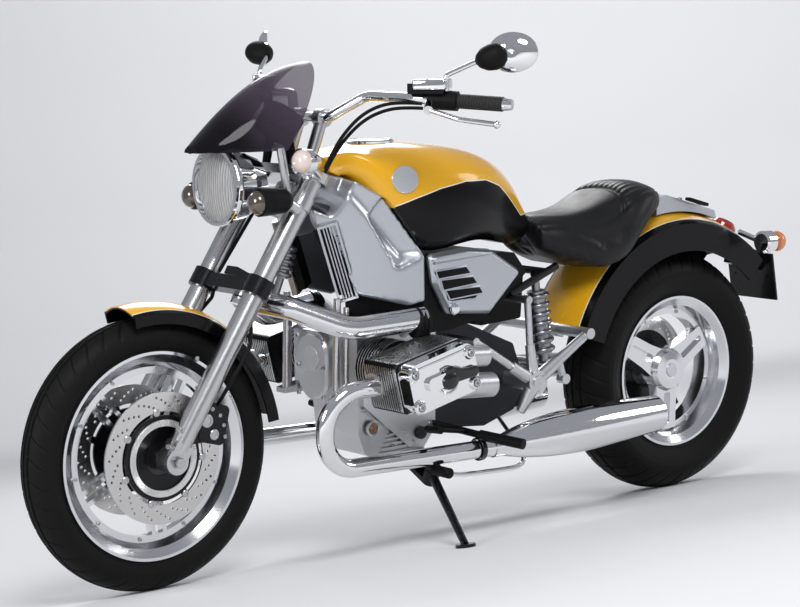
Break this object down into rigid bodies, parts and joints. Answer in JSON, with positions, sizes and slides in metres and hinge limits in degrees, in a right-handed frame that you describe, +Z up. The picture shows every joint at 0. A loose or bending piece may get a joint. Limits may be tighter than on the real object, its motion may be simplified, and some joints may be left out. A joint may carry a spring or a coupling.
{
  "type": "cruiser motorcycle",
  "caption": "Cruiser motorcycle with a flat twin engine, fly screen, solo saddle and single-sided rear arm, leaning on its side stand; wheels, steering and stand move.",
  "frame": {"origin": "on the ground under the middle of the bounding box", "axes": "+X forward, +Y to the rider's left, the side it leans to, +Z up"},
  "size_m": [2.3464, 1.0561, 1.3346],
  "materials": {
    "black_paint": "gloss black paint",
    "black_plastic": "textured black plastic",
    "chrome": "mirror chrome",
    "dark_cast": "dark cast alloy with bright fin edges",
    "gold_paint": "gloss gold-yellow paint with black side bands",
    "leather": "grained black leather",
    "lens": "clear moulded glass",
    "rubber": "soft black rubber",
    "satin_alloy": "satin bead-blasted alloy",
    "silver_paint": "metallic silver paint",
    "steel": "bright steel",
    "steel_disc": "ground steel",
    "tail_lens": "dark red lens",
    "tinted_screen": "smoked plastic",
    "tyre": "black rubber with a satin side wall",
    "wheel_metal": "polished cast metal"
  },
  "bodies": {
    "chassis": {"head_casting": "silver_paint", "cooler_grilles": "silver_paint", "oil_coolers": "black_paint", "a_arm": "wheel_metal", "front_strut": "satin_alloy", "engine_block": "satin_alloy", "engine_front_cover": "satin_alloy", "down_tubes": "satin_alloy", "gearbox": "dark_cast", "cylinders": "dark_cast", "cylinder_heads": "dark_cast", "valve_covers": "chrome", "throttle_bodies": "satin_alloy", "exhaust_headers": "chrome", "mufflers": "chrome", "fuel_tank": "gold_paint", "airbox": "black_plastic", "battery_box": "black_plastic", "side_panels": "silver_paint", "seat": "leather", "rear_fender": "gold_paint", "luggage_rack": "satin_alloy", "tail_light": "tail_lens", "rear_indicators": "chrome", "plate_holder": "black_plastic", "swing_arm": "black_paint", "frame_plates": "satin_alloy", "rear_subframe": "black_paint", "rear_shock": "black_paint", "rear_caliper": "black_paint", "footpegs": "rubber", "stand_bracket": "black_paint"},
    "steering": {"front_axle": "steel", "fork_legs": "satin_alloy", "fork_bridge": "black_paint", "upper_fork_yoke": "satin_alloy", "front_fender": "gold_paint", "brake_calipers": "black_paint", "headlight_shell": "chrome", "headlight_lens": "lens", "headlight_bracket": "satin_alloy", "auxiliary_lamps": "black_plastic", "windscreen": "tinted_screen", "instrument_pod": "black_plastic", "front_indicators": "lens", "handlebar": "chrome", "grips": "rubber", "control_housings": "black_plastic", "levers": "satin_alloy", "mirrors": "chrome", "brake_hoses": "rubber"},
    "front_wheel": {"front_tyre": "tyre", "front_wheel_casting": "wheel_metal", "front_brake_discs": "steel_disc"},
    "rear_wheel": {"rear_tyre": "tyre", "rear_wheel_casting": "wheel_metal", "rear_brake_disc": "steel_disc"},
    "side_stand": {"side_stand": "black_paint"}
  },
  "joints": [
    {"name": "steering", "type": "hinge", "parent": "chassis", "child": "steering", "pos_m": [0.40232, -0.0451, 0.93849], "axis": [-0.4921, 0.1511, 0.8573], "range_deg": [-30, 30]},
    {"name": "front_wheel_spin", "type": "hinge", "parent": "steering", "child": "front_wheel", "pos_m": [0.85471, -0.15511, 0.31445], "axis": [-0.0001, 0.9848, -0.1736], "continuous": true},
    {"name": "rear_wheel_spin", "type": "hinge", "parent": "chassis", "child": "rear_wheel", "pos_m": [-0.79529, -0.15372, 0.32294], "axis": [-0.0001, 0.9848, -0.1736], "continuous": true},
    {"name": "side_stand_fold", "type": "hinge", "parent": "chassis", "child": "side_stand", "pos_m": [0.13465, -0.0297, 0.16212], "axis": [-0.0314, 0.5899, 0.8068], "range_deg": [0, 107.4]}
  ]
}
